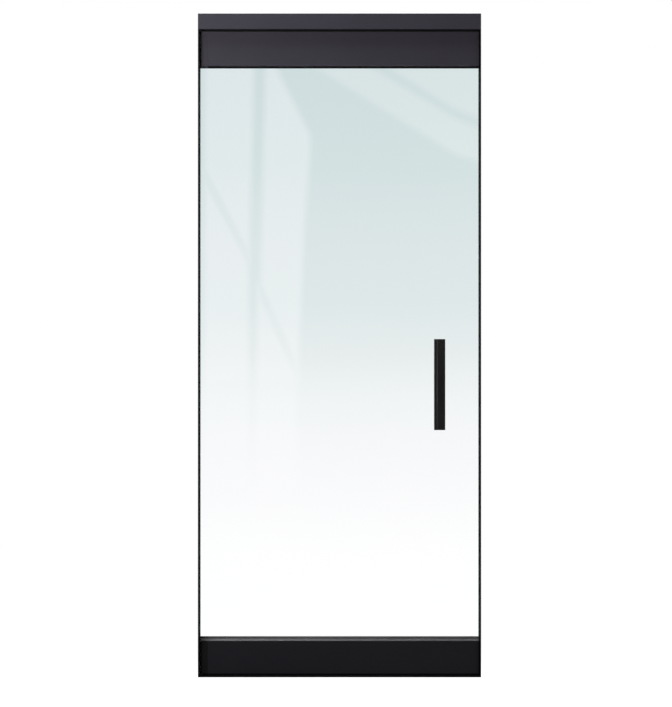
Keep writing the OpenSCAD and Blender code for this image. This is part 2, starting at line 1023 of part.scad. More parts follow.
module top_glass_liner() {
    color(rubber)
        at_head()
            along_x(core_x0, core_x1)
                liner_profile(top_rail_h, top_bevel);
}

module top_pressure_bars() {
    color(mill)
        at_head()
            rail_pressure_bars(top_rail_h, top_bevel);
}

module top_clamp_screws() {
    color(zinc)
        at_head()
            rail_clamp_screws(top_rail_h, top_bevel);
}

module top_brushes() {
    color(pile)
        at_head()
            rail_brushes(head_gap);
}

module bottom_core() {
    color(mill)
        at_foot()
            rail_core(bottom_rail_h, bottom_bevel);
}

module bottom_cover_front() {
    color(near_black)
        at_foot()
            along_x(core_x0, core_x1)
                mirror([1, 0])
                    cover_profile(bottom_rail_h, bottom_bevel);
}

module bottom_cover_back() {
    color(near_black)
        at_foot()
            along_x(core_x0, core_x1)
                cover_profile(bottom_rail_h, bottom_bevel);
}

module bottom_heel_cap() {
    color(jamb_black)
        at_foot()
            rail_heel_cap(bottom_rail_h, bottom_bevel);
}

module bottom_toe_cap() {
    color(near_black)
        at_foot()
            rail_toe_cap(bottom_rail_h, bottom_bevel);
}

module bottom_gasket_front() {
    color(rubber)
        at_foot()
            along_x(core_x0, core_x1)
                mirror([1, 0])
                    gasket_profile(bottom_rail_h, bottom_bevel);
}

module bottom_gasket_back() {
    color(rubber)
        at_foot()
            along_x(core_x0, core_x1)
                gasket_profile(bottom_rail_h, bottom_bevel);
}

module bottom_glass_liner() {
    color(rubber)
        at_foot()
            along_x(core_x0, core_x1)
                liner_profile(bottom_rail_h, bottom_bevel);
}

module bottom_pressure_bars() {
    color(mill)
        at_foot()
            rail_pressure_bars(bottom_rail_h, bottom_bevel);
}

module bottom_clamp_screws() {
    color(zinc)
        at_foot()
            rail_clamp_screws(bottom_rail_h, bottom_bevel);
}

module bottom_brushes() {
    color(pile)
        at_foot()
            rail_brushes(floor_gap);
}

module end_cap_screws() {
    color(zinc) {
        at_head()
            at_cap_screws()
                countersunk_screw(small_screw_r, small_head_r, toe_cap_t + small_bite);
        at_foot()
            at_cap_screws()
                countersunk_screw(small_screw_r, small_head_r, toe_cap_t + small_bite);
    }
}

module closer_spindle() {
    color(steel)
        translate([pivot_x, 0, leaf_top]) {
            cylinder(r = spindle_r, h = spindle_seat_foot + closer_seat - leaf_top);
            cylinder(r = flange_r, h = flange_t);
            translate([-drive_side / 2, -drive_side / 2, -drive_depth])
                cube([drive_side, drive_side, drive_depth + flange_t / 2]);
        }
}

module top_arm() {
    socket_side = drive_side + 2 * fit_gap;
    color(steel)
        at_head()
            difference() {
                pivot_chamber_block();
                translate([pivot_x - socket_side / 2, -socket_side / 2, -overcut])
                    cube([socket_side, socket_side, drive_depth + free_gap + overcut]);
            }
}

module top_arm_screws() {
    color(zinc)
        at_head()
            block_screws();
}

module pivot_block() {
    color(steel)
        at_foot()
            difference() {
                pivot_chamber_block();
                translate([pivot_x, 0, -overcut])
                    cylinder(r = bush_out_r + press_gap, h = bush_h + free_gap + overcut);
            }
}

module pivot_block_screws() {
    color(zinc)
        at_foot()
            block_screws();
}

module pivot_bush() {
    color(bronze)
        translate([pivot_x, 0, leaf_bottom])
            difference() {
                cylinder(r = bush_out_r, h = bush_h);
                translate([0, 0, -overcut])
                    cylinder(r = bush_in_r, h = bush_h + 2 * overcut);
            }
}

// Handle

// Plan of the front grip, with its inner face at Y = 0 and its outer face at -grip_d
module grip_plan() {
    groove_x = groove_inset - grip_w / 2;
    difference() {
        translate([0, -grip_d])
            rounded_rect(grip_w, grip_d, grip_edge_r);
        polygon([
            [groove_x - groove_w / 2, -grip_d - overcut], [groove_x + groove_w / 2, -grip_d - overcut],
            [groove_x + groove_w / 2, -grip_d], [groove_x, -grip_d + groove_d],
            [groove_x - groove_w / 2, -grip_d]
        ]);
    }
}

// Plan of the necks that join the caps to the grip, set back by the reveal
module grip_neck_plan() {
    translate([0, groove_d + grip_reveal - grip_d])
        rounded_rect(grip_w - 2 * grip_reveal, grip_d - groove_d - 2 * grip_reveal, grip_edge_r);
}

module grip_bar() {
    bar_l = grip_l - 2 * grip_cap_l;
    difference() {
        translate([handle_x, -grip_in, handle_z - bar_l / 2])
            linear_extrude(height = bar_l)
                grip_plan();
        for (z = post_zs)
            translate([handle_x, -grip_in, z])
                facing_front()
                    translate([0, 0, -overcut])
                        cylinder(r = spigot_r + screw_gap, h = spigot_l + free_gap + overcut);
    }
}

// The upper and the lower cap, each with its neck against the grip bar
module grip_caps() {
    for (end = [0, 1])
        translate([handle_x, -grip_in, handle_z])
            mirror([0, 0, end])
                translate([0, 0, grip_l / 2 - grip_cap_l]) {
                    linear_extrude(height = grip_cap_l / 2)
                        grip_neck_plan();
                    translate([0, 0, grip_reveal])
                        linear_extrude(height = grip_cap_l - grip_reveal)
                            grip_plan();
                }
}

// The same front pieces on the door's back, turned half round the handle's upright line
module turned_to_back() {
    translate([handle_x, 0, 0])
        rotate([0, 0, 180])
            translate([-handle_x, 0, 0])
                children();
}

// A post stands on its rubber washer and ends in a spigot in the grip
module grip_post(z) {
    translate([handle_x, -pad_face, z])
        facing_front()
            difference() {
                rotate_extrude()
                    polygon([
                        [0, 0], [post_foot_r, 0], [post_foot_r, post_foot_h / 2],
                        [post_r, post_foot_h], [post_r, post_l], [spigot_r, post_l],
                        [spigot_r, post_l + spigot_l], [0, post_l + spigot_l]
                    ]);
                translate([0, 0, -overcut])
                    cylinder(r = stud_r + screw_gap, h = stud_bite + free_gap + overcut);
            }
}

module handle_bar_front() {
    color(near_black)
        grip_bar();
}

module handle_bar_back() {
    color(near_black)
        turned_to_back()
            grip_bar();
}

module handle_caps_front() {
    color(near_black)
        grip_caps();
}

module handle_caps_back() {
    color(near_black)
        turned_to_back()
            grip_caps();
}

module handle_post_front_upper() {
    color(near_black)
        grip_post(post_zs[1]);
}

module handle_post_front_lower() {
    color(near_black)
        grip_post(post_zs[0]);
}

module handle_post_back_upper() {
    color(near_black)
        turned_to_back()
            grip_post(post_zs[1]);
}

module handle_post_back_lower() {
    color(near_black)
        turned_to_back()
            grip_post(post_zs[0]);
}

module handle_washers() {
    color(rubber)
        for (side = [0, 1])
            for (z = post_zs)
                mirror([0, side, 0])
                    translate([handle_x, -glass_half, z])
                        facing_front()
                            difference() {
                                cylinder(r = post_foot_r, h = pad_t);
                                translate([0, 0, -overcut])
                                    cylinder(r = stud_r + screw_gap, h = pad_t + 2 * overcut);
                            }
}

module handle_sleeves() {
    color(nylon)
        for (z = post_zs)
            translate([handle_x, 0, z])
                facing_back()
                    difference() {
                        cylinder(r = glass_hole_r - screw_gap, h = glass_t, center = true);
                        cylinder(r = stud_r + screw_gap, h = glass_t + 2 * overcut, center = true);
                    }
}

module handle_studs() {
    color(zinc)
        for (z = post_zs)
            translate([handle_x, 0, z])
                facing_back()
                    cylinder(r = stud_r, h = 2 * (pad_face + stud_bite), center = true);
}

header();
header_soffit();
soffit_screws();
jamb_hinge_side();
jamb_lock_side();
jamb_brush_hinge_side();
jamb_brush_lock_side();
sill();
corner_cleat_left();
corner_cleat_right();
frame_screws();
closer_body();
closer_screws();
pivot_base();
pivot_base_screws();
thrust_washer();
glass();
top_core();
top_cover_front();
top_cover_back();
top_heel_cap();
top_toe_cap();
top_gasket_front();
top_gasket_back();
top_glass_liner();
top_pressure_bars();
top_clamp_screws();
top_brushes();
bottom_core();
bottom_cover_front();
bottom_cover_back();
bottom_heel_cap();
bottom_toe_cap();
bottom_gasket_front();
bottom_gasket_back();
bottom_glass_liner();
bottom_pressure_bars();
bottom_clamp_screws();
bottom_brushes();
end_cap_screws();
closer_spindle();
top_arm();
top_arm_screws();
pivot_block();
pivot_block_screws();
pivot_bush();
handle_bar_front();
handle_bar_back();
handle_caps_front();
handle_caps_back();
handle_post_front_upper();
handle_post_front_lower();
handle_post_back_upper();
handle_post_back_lower();
handle_washers();
handle_sleeves();
handle_studs();
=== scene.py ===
"""Finishes, studio and camera for a pivot-hung glass entrance door.

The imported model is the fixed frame. X runs along the width, the front faces -Y and Z is up, in metres.
"""

import json
import math

import bmesh
import bpy
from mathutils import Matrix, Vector

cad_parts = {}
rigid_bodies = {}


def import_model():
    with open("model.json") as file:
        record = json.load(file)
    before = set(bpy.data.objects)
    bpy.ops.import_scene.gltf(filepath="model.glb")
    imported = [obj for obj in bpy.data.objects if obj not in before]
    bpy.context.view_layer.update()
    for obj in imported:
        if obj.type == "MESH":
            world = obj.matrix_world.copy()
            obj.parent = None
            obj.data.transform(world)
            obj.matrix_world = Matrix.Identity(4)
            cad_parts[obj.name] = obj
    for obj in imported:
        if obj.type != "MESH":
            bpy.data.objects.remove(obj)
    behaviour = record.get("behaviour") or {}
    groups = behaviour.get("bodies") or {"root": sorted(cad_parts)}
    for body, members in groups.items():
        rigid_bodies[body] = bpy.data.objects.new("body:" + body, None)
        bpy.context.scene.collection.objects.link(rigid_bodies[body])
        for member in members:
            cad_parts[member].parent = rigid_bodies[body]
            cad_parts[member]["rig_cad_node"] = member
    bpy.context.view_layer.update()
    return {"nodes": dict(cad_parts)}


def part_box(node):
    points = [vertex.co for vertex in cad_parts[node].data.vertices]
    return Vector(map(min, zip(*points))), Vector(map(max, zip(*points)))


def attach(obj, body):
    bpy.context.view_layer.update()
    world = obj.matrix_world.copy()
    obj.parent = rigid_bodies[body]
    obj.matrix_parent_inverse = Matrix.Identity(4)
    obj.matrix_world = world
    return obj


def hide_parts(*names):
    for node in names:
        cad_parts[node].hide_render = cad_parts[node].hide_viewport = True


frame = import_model()
nodes = frame["nodes"]

MM = 0.001
GLASS_HALF = 6 * MM
GLASS_ARRIS = 0.6 * MM
HOLE_ARRIS = 0.7 * MM
PIVOT_X = -0.376
HANDLE_X = 0.317
HANDLE_Z = 0.926
HANDLE_HOLE_STEP = 0.1
HANDLE_HOLE_R = 7 * MM
GRIP_HALF_W = 17.5 * MM
GRIP_BACK = 51 * MM
GRIP_FACE = 67 * MM
GRIP_EDGE_R = 2 * MM
GRIP_GROOVE_X = HANDLE_X - 9.5 * MM
GRIP_GROOVE_HALF = 3.2 * MM
GRIP_GROOVE_D = 1.2 * MM
GRIP_CHAMFER = 0.35 * MM
GRIP_REVEAL = 0.8 * MM
GRIP_CAP_L = 10 * MM
GRIP_CAP_R = 0.8 * MM
GRIP_SMOOTH_DEGREES = 19.5
COVER_EASE = 0.4 * MM
GASKET_EASE = 0.5 * MM
FINE_EASE = 0.3 * MM
LONG_EDGE = 0.1
CAP_EDGE = 4 * MM
SAME_POINT = 0.01 * MM
SPECK = 0.005 * MM
PILE_FOOT = 0.444
PILE_LAP = 0.5 * MM
JAMB_PILE_GAP = 0.02 * MM
RAIL_PILE_GAP = 0.03 * MM
PAD_SIZE = 8 * MM
PAD_Y = 34 * MM
PAD_R = 0.8 * MM


# Materials

# Light grey laid on up-facing faces: partly settled dirt, partly a painted highlight of the light from
# above.
DUST_AND_HIGHLIGHT_GREY = (0.33, 0.32, 0.33)
MIX_FIRST, MIX_SECOND, MIX_RESULT = 6, 7, 2


def start_material(name):
    """A node material: its tree, its Principled shader and the piece's own coordinates."""
    material = bpy.data.materials.new(name)
    material.use_nodes = True
    tree = material.node_tree
    place = tree.nodes.new("ShaderNodeTexCoord")
    return material, tree, tree.nodes["Principled BSDF"], place


def noise(tree, place, waves, stretch=(1, 1, 1), detail=2.0):
    """Noise with that many waves to the metre, stretched along the axes."""
    mapping = tree.nodes.new("ShaderNodeMapping")
    mapping.inputs["Scale"].default_value = stretch
    texture = tree.nodes.new("ShaderNodeTexNoise")
    texture.inputs["Scale"].default_value = waves
    texture.inputs["Detail"].default_value = detail
    tree.links.new(place.outputs["Object"], mapping.inputs["Vector"])
    tree.links.new(mapping.outputs["Vector"], texture.inputs["Vector"])
    return texture.outputs["Fac"]


def remap(tree, value, low, high, start=0.3, end=0.7):
    """Turns a pattern's range from start to end into low to high."""
    node = tree.nodes.new("ShaderNodeMapRange")
    node.inputs["From Min"].default_value = start
    node.inputs["From Max"].default_value = end
    node.inputs["To Min"].default_value = low
    node.inputs["To Max"].default_value = high
    tree.links.new(value, node.inputs["Value"])
    return node.outputs["Result"]


def calculate(tree, operation, first, second):
    """A Math node on two patterns, or on a pattern and a number."""
    node = tree.nodes.new("ShaderNodeMath")
    node.operation = operation
    node.use_clamp = True
    tree.links.new(first, node.inputs[0])
    if isinstance(second, float):
        node.inputs[1].default_value = second
    else:
        tree.links.new(second, node.inputs[1])
    return node.outputs["Value"]


def shades(tree, value, *stops):
    """A colour ramp over a pattern, from (position, colour) stops."""
    ramp = tree.nodes.new("ShaderNodeValToRGB")
    elements = ramp.color_ramp.elements
    elements.remove(elements[1])
    elements[0].position = stops[0][0]
    elements[0].color = (*stops[0][1], 1)
    for position, colour in stops[1:]:
        elements.new(position).color = (*colour, 1)
    tree.links.new(value, ramp.inputs["Fac"])
    return ramp.outputs["Color"]


def mixed(tree, factor, first, second):
    """The first colour where the factor is 0, the second where it is 1."""
    node = tree.nodes.new("ShaderNodeMix")
    node.data_type = "RGBA"
    tree.links.new(factor, node.inputs["Factor"])
    for index, colour in ((MIX_FIRST, first), (MIX_SECOND, second)):
        if isinstance(colour, tuple):
            node.inputs[index].default_value = (*colour, 1)
        else:
            tree.links.new(colour, node.inputs[index])
    return node.outputs[MIX_RESULT]


def relief(tree, shader, *heights):
    """Bumps on the shader, one on top of the other, from (pattern, depth in metres) pairs."""
    below = None
    for height, depth in heights:
        bump = tree.nodes.new("ShaderNodeBump")
        bump.inputs["Distance"].default_value = depth
        tree.links.new(height, bump.inputs["Height"])
        if below:
            tree.links.new(below, bump.inputs["Normal"])
        below = bump.outputs["Normal"]
    tree.links.new(below, shader.inputs["Normal"])


def scaled(colour, share):
    """A colour made lighter or darker by that share."""
    return tuple(channel * share for channel in colour)


def facing_up(tree, place, start=0.55, end=0.95):
    """1 on faces that look up, 0 on upright ones."""
    split = tree.nodes.new("ShaderNodeSeparateXYZ")
    tree.links.new(place.outputs["Normal"], split.inputs["Vector"])
    return remap(tree, split.outputs["Z"], 0.0, 1.0, start, end)


def powder_coat(name, colour, roughness, specular, dust_and_highlight):
    """Stoved powder coat: fine orange peel, cloudy sheen and that share of grey on its ledges, partly
    settled dirt and partly a painted highlight of the light from above.
    """
    material, tree, shader, place = start_material(name)
    cloud = noise(tree, place, 7, detail=3)
    grain = noise(tree, place, 2600, detail=1)
    paint = shades(tree, cloud, (0.3, scaled(colour, 0.93)), (0.7, scaled(colour, 1.06)))
    fleck = shades(tree, grain, (0.42, scaled(colour, 0.82)), (0.6, scaled(colour, 1.2)))
    coat = mixed(tree, remap(tree, cloud, 0.35, 0.65), paint, fleck)
    # Up-facing ledges turn grey: partly settled dirt, partly a painted highlight of the top lamp's light on
    # the bevels.
    dust_and_highlight_mask = calculate(tree, "MULTIPLY", facing_up(tree, place), remap(tree, cloud, 0.6 * dust_and_highlight, dust_and_highlight))
    tree.links.new(mixed(tree, dust_and_highlight_mask, coat, DUST_AND_HIGHLIGHT_GREY), shader.inputs["Base Color"])
    smear = noise(tree, place, 11, stretch=(0.5, 1, 1), detail=4)
    tree.links.new(remap(tree, smear, roughness - 0.05, roughness + 0.06), shader.inputs["Roughness"])
    shader.inputs["Specular IOR Level"].default_value = specular
    peel = noise(tree, place, 520, detail=1)
    relief(tree, shader, (peel, 0.00003), (grain, 0.00001))
    return material


def grip_black():
    """Satin black on the handle, brushed along its length and rubbed smoother where hands close on it."""
    material, tree, shader, place = start_material("handle_satin_black")
    lines = noise(tree, place, 1500, stretch=(1, 1, 0.02), detail=2)
    colour = shades(tree, lines, (0.35, (0.0060, 0.0064, 0.0060)), (0.65, (0.0100, 0.0104, 0.0098)))
    tree.links.new(colour, shader.inputs["Base Color"])
    split = tree.nodes.new("ShaderNodeSeparateXYZ")
    tree.links.new(place.outputs["Object"], split.inputs["Vector"])
    held = calculate(
        tree,
        "MINIMUM",
        remap(tree, split.outputs["Z"], 0.0, 1.0, HANDLE_Z - 0.12, HANDLE_Z - 0.04),
        remap(tree, split.outputs["Z"], 1.0, 0.0, HANDLE_Z + 0.04, HANDLE_Z + 0.12),
    )
    touched = calculate(tree, "MULTIPLY", held, noise(tree, place, 60, detail=4))
    tree.links.new(remap(tree, touched, 0.40, 0.27, 0.1, 0.7), shader.inputs["Roughness"])
    shader.inputs["Specular IOR Level"].default_value = 0.35
    relief(tree, shader, (lines, 0.00002))
    return material


def moulded_plastic(name, colour):
    """Glass-filled nylon from a spark-eroded mould: even fine grain, slight flow clouds."""
    material, tree, shader, place = start_material(name)
    flow = noise(tree, place, 35, stretch=(1, 1, 0.4), detail=3)
    pits = tree.nodes.new("ShaderNodeTexVoronoi")
    pits.inputs["Scale"].default_value = 1700
    tree.links.new(place.outputs["Object"], pits.inputs["Vector"])
    body = shades(tree, flow, (0.3, scaled(colour, 0.85)), (0.7, scaled(colour, 1.15)))
    # Up-facing faces turn grey: partly settled dirt, partly a painted highlight of the top lamp's light on
    # the cap's bevel.
    dust_and_highlight_mask = calculate(tree, "MULTIPLY", facing_up(tree, place), remap(tree, flow, 0.18, 0.30))
    tree.links.new(mixed(tree, dust_and_highlight_mask, body, DUST_AND_HIGHLIGHT_GREY), shader.inputs["Base Color"])
    tree.links.new(remap(tree, flow, 0.46, 0.56), shader.inputs["Roughness"])
    shader.inputs["Specular IOR Level"].default_value = 0.25
    relief(tree, shader, (pits.outputs["Distance"], 0.00006))
    return material


def drawn_metal(name, dark, light, roughness, stretch, waves=900):
    """Bare metal with the fine lines of drawing, rolling or turning."""
    material, tree, shader, place = start_material(name)
    lines = noise(tree, place, waves, stretch=stretch, detail=3)
    stain = noise(tree, place, 18, detail=4)
    metal = shades(tree, lines, (0.32, dark), (0.68, light))
    tree.links.new(mixed(tree, remap(tree, stain, 0.0, 0.35), metal, dark), shader.inputs["Base Color"])
    shader.inputs["Metallic"].default_value = 1.0
    tree.links.new(remap(tree, stain, roughness - 0.06, roughness + 0.08), shader.inputs["Roughness"])
    relief(tree, shader, (lines, 0.00003))
    return material


def sintered_bronze():
    """Oil-filled bronze: warm metal broken by dark pores."""
    material, tree, shader, place = start_material("sintered_bronze")
    pores = tree.nodes.new("ShaderNodeTexVoronoi")
    pores.inputs["Scale"].default_value = 1300
    tree.links.new(place.outputs["Object"], pores.inputs["Vector"])
    metal = shades(
        tree, pores.outputs["Distance"], (0.12, (0.09, 0.05, 0.025)), (0.3, (0.46, 0.28, 0.12))
    )
    tree.links.new(metal, shader.inputs["Base Color"])
    shader.inputs["Metallic"].default_value = 1.0
    tree.links.new(remap(tree, noise(tree, place, 120), 0.34, 0.5), shader.inputs["Roughness"])
    relief(tree, shader, (pores.outputs["Distance"], 0.00006))
    return material


def rubber(name, colour):
    """Extruded rubber: matt, with die lines along X and grey where it faces up, partly caught dirt and
    partly a painted highlight of the light from above.
    """
    material, tree, shader, place = start_material(name)
    lines = noise(tree, place, 1400, stretch=(0.01, 1, 1), detail=2)
    bloom = noise(tree, place, 26, stretch=(0.4, 1, 1), detail=5)
    body = shades(tree, lines, (0.35, scaled(colour, 0.85)), (0.65, scaled(colour, 1.1)))
    # Up-facing slopes turn grey: partly caught dirt, partly a painted highlight of the top lamp's light on
    # the gasket.
    caught_dust_and_highlight = calculate(tree, "MULTIPLY", facing_up(tree, place, 0.2, 0.9), remap(tree, bloom, 0.26, 0.56))
    tree.links.new(mixed(tree, caught_dust_and_highlight, body, DUST_AND_HIGHLIGHT_GREY), shader.inputs["Base Color"])
    tree.links.new(remap(tree, bloom, 0.52, 0.66), shader.inputs["Roughness"])
    shader.inputs["Specular IOR Level"].default_value = 0.2
    relief(tree, shader, (lines, 0.00004))
    return material


def brush_fibre():
    """Dark siliconised pile, each tuft a little lighter or darker than the next."""
    material, tree, shader, place = start_material("brush_fibre")
    tufts = noise(tree, place, 420, detail=3)
    fibre = shades(tree, tufts, (0.3, (0.0035, 0.0035, 0.004)), (0.7, (0.012, 0.012, 0.013)))
    tree.links.new(fibre, shader.inputs["Base Color"])
    tree.links.new(remap(tree, tufts, 0.6, 0.75), shader.inputs["Roughness"])
    shader.inputs["Specular IOR Level"].default_value = 0.2
    shader.inputs["Sheen Weight"].default_value = 0.08
    return material


def white_nylon():
    """Turned nylon, slightly translucent."""
    material, tree, shader, place = start_material("white_nylon")
    cloud = noise(tree, place, 160, detail=3)
    body = shades(tree, cloud, (0.3, (0.62, 0.61, 0.56)), (0.7, (0.74, 0.73, 0.69)))
    tree.links.new(body, shader.inputs["Base Color"])
    tree.links.new(remap(tree, cloud, 0.34, 0.46), shader.inputs["Roughness"])
    shader.inputs["Subsurface Weight"].default_value = 0.2
    shader.inputs["Subsurface Scale"].default_value = 0.002
    relief(tree, shader, (noise(tree, place, 1900, detail=1), 0.00003))
    return material


def door_glass():
    """Clear toughened glass with a faint aqua body and hand smears round the handle."""
    material, tree, shader, place = start_material("door_glass")
    drift = noise(tree, place, 1.5, detail=1)
    body = shades(tree, drift, (0.3, (0.905, 0.962, 0.948)), (0.7, (0.920, 0.970, 0.958)))
    tree.links.new(body, shader.inputs["Base Color"])
    mapping = tree.nodes.new("ShaderNodeMapping")
    mapping.inputs["Location"].default_value = (-HANDLE_X - 0.06, 0, -HANDLE_Z)
    tree.links.new(place.outputs["Object"], mapping.inputs["Vector"])
    reach = tree.nodes.new("ShaderNodeVectorMath")
    reach.operation = "LENGTH"
    tree.links.new(mapping.outputs["Vector"], reach.inputs["Vector"])
    near = remap(tree, reach.outputs["Value"], 1.0, 0.0, 0.05, 0.22)
    smears = calculate(tree, "MULTIPLY", near, noise(tree, place, 90, stretch=(1, 1, 0.35), detail=5))
    tree.links.new(remap(tree, smears, 0.0, 0.05, 0.3, 0.7), shader.inputs["Roughness"])
    shader.inputs["Transmission Weight"].default_value = 1.0
    shader.inputs["IOR"].default_value = 1.5
    return material


def polished_glass_edge():
    """The ground and polished rim, green because one looks along the pane."""
    material, tree, shader, place = start_material("polished_glass_edge")
    depth = noise(tree, place, 14, stretch=(1, 1, 0.3), detail=3)
    green = shades(tree, depth, (0.3, (0.16, 0.38, 0.31)), (0.7, (0.30, 0.55, 0.47)))
    tree.links.new(green, shader.inputs["Base Color"])
    tree.links.new(remap(tree, noise(tree, place, 700), 0.06, 0.16), shader.inputs["Roughness"])
    shader.inputs["Transmission Weight"].default_value = 0.6
    shader.inputs["IOR"].default_value = 1.5
    return material


# The last number of each coat is its share of grey on up-facing ledges, partly dirt and partly painted
# highlight.
charcoal = powder_coat("charcoal_powder_coat", (0.0495, 0.0462, 0.0620), 0.42, 0.22, 0.06)
# The bottom rail's coat is the rail paint made darker: painted shade for the lower light on the bottom rail.
black = powder_coat("bottom_rail_shaded_coat", (0.0228, 0.0214, 0.0280), 0.40, 0.20, 0.20)
# One frame black in two copies: the jamb coat is lightened, painted light where little lamp light reaches
# the jambs, and the sill coat is darker and duller, painted shade against the top lamp.
frame_black = powder_coat("frame_black_lightened_coat", (0.0062, 0.0060, 0.0070), 0.44, 0.22, 0.0)
sill_shaded_black = powder_coat("sill_shaded_black_coat", (0.0024, 0.0023, 0.0027), 0.58, 0.03, 0.0)
satin_black = grip_black()
plastic = moulded_plastic("moulded_black_plastic", (0.006, 0.006, 0.007))
aluminium = drawn_metal("mill_aluminium", (0.52, 0.53, 0.54), (0.78, 0.79, 0.80), 0.34, (0.02, 1, 1))
steel = drawn_metal("turned_steel", (0.34, 0.34, 0.35), (0.56, 0.56, 0.57), 0.28, (1, 1, 0.05))
zinc = drawn_metal("zinc_plated_steel", (0.42, 0.44, 0.47), (0.66, 0.68, 0.72), 0.3, (1, 1, 1), 500)
bronze = sintered_bronze()
gasket_rubber = rubber("gasket_rubber", (0.0055, 0.0062, 0.0070))
fibre = brush_fibre()
nylon = white_nylon()
glass_body = door_glass()
glass_edge = polished_glass_edge()

FINISHES = (
    (charcoal, ["header"]),
    (
        aluminium,
        [
            "corner_cleat_left",
            "corner_cleat_right",
            "top_core",
            "bottom_core",
            "top_pressure_bars",
            "bottom_pressure_bars",
        ],
    ),
    (steel, ["closer_body", "pivot_base", "closer_spindle", "top_arm", "pivot_block"]),
    (
        zinc,
        [
            "soffit_screws",
            "frame_screws",
            "closer_screws",
            "pivot_base_screws",
            "top_clamp_screws",
            "bottom_clamp_screws",
            "top_arm_screws",
            "pivot_block_screws",
            "end_cap_screws",
            "handle_studs",
        ],
    ),
    (bronze, ["thrust_washer", "pivot_bush"]),
    (gasket_rubber, ["top_glass_liner", "bottom_glass_liner"]),
    (nylon, ["handle_sleeves"]),
)

for finish, names in FINISHES:
    for name in names:
        nodes[name].data.materials.clear()
        nodes[name].data.materials.append(finish)


# Modelling


def deselect():
    bpy.ops.object.select_all(action="DESELECT")


def select_only(*pieces):
    """Selects these pieces and nothing else, the first one active."""
    deselect()
    for piece in pieces:
        piece.select_set(True)
    bpy.context.view_layer.objects.active = pieces[0]


def block(name, low, high):
    """A box between two corners, with its place in its mesh."""
    deselect()
    low, high = Vector(low), Vector(high)
    bpy.ops.mesh.primitive_cube_add(size=1, location=(low + high) / 2, scale=high - low)
    return placed(name)


def placed(name):
    """Names the active object and puts its place, turn and size into its mesh."""
    bpy.ops.object.transform_apply(location=True, rotation=True, scale=True)
    piece = bpy.context.object
    piece.name = name
    piece.data.name = name
    return piece


def pick(piece, kind, wanted):
    """Goes into edit mode with only the wanted faces, edges or vertices selected."""
    bpy.ops.object.mode_set(mode="EDIT")
    bpy.ops.mesh.select_mode(type=kind)
    bpy.ops.mesh.select_all(action="DESELECT")
    mesh = bmesh.from_edit_mesh(piece.data)
    for element in {"VERT": mesh.verts, "EDGE": mesh.edges, "FACE": mesh.faces}[kind]:
        if wanted(element):
            element.select_set(True)
    mesh.select_flush_mode()
    bmesh.update_edit_mesh(piece.data)


def back_to_object():
    bpy.ops.object.mode_set(mode="OBJECT")


def middle(edge):
    return (edge.verts[0].co + edge.verts[1].co) / 2


def along(edge, axis):
    """True for an edge that runs along that axis, 0 for X, 1 for Y and 2 for Z."""
    step = edge.verts[1].co - edge.verts[0].co
    return abs(step[axis]) > 0.999 * step.length


def sharp(edge):
    return edge.is_manifold and edge.calc_face_angle(0) > math.radians(25)


def cut(piece, place, direction):
    """Cuts all of the piece's faces along a plane, without parting it."""
    pick(piece, "FACE", lambda face: True)
    bpy.ops.mesh.bisect(plane_co=place, plane_no=direction)


def apply_modifier(piece, kind, **settings):
    modifier = piece.modifiers.new(kind.lower(), kind)
    for key, value in settings.items():
        setattr(modifier, key, value)
    bpy.context.view_layer.objects.active = piece
    bpy.ops.object.modifier_apply(modifier=modifier.name)


def smooth(piece, degrees=32):
    """Smooth shading over the eased edges, with the broad faces kept flat."""
    select_only(piece)
    bpy.ops.object.shade_smooth_by_angle(angle=math.radians(degrees))
    apply_modifier(piece, "WEIGHTED_NORMAL", keep_sharp=True)


def copy_of(piece, name):
    """A copy with its own mesh, left active."""
    select_only(piece)
    bpy.ops.object.duplicate()
    copy = bpy.context.object
    copy.name = name
    copy.data.name = name
    return copy


def turned_round(piece, name):
    """A copy of a front piece on the door's back, turned half round the handle's own upright line."""
    copy = copy_of(piece, name)
    bpy.ops.object.mode_set(mode="EDIT")
    bpy.ops.mesh.select_all(action="SELECT")
    bpy.ops.transform.rotate(
        value=math.pi, orient_axis="Z", orient_type="GLOBAL", center_override=(HANDLE_X, 0, HANDLE_Z)
    )
    back_to_object()
    return copy


def finished(piece, body, slot, material, *replaced):
    """Gives a piece its material and its body, and hides the nodes that it stands for. The slot is not used.
    """
    if material:
        piece.data.materials.clear()
        piece.data.materials.append(material)
    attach(piece, body)
    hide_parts(*replaced)
    return piece


def eased(node, body, slot, material, width, shortest=0.0):
    """A merged copy of a CAD node, its sharp edges eased where they are long enough."""
    piece = copy_of(nodes[node], node + "_finished")
    del piece["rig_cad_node"]
    pick(piece, "FACE", lambda face: True)
    bpy.ops.mesh.remove_doubles(threshold=SAME_POINT)
    bpy.ops.mesh.dissolve_limited(angle_limit=math.radians(0.05))
    bpy.ops.mesh.customdata_custom_splitnormals_clear()
    pick(piece, "EDGE", lambda edge: sharp(edge) and edge.calc_length() >= shortest)
    bpy.ops.mesh.bevel(offset=width, offset_type="OFFSET", segments=2, affect="EDGES", clamp_overlap=True)
    pick(piece, "VERT", lambda vert: True)
    bpy.ops.mesh.dissolve_degenerate(threshold=SPECK)
    bpy.ops.mesh.remove_doubles(threshold=SPECK)
    back_to_object()
    smooth(piece)
    return finished(piece, body, slot, material, node)


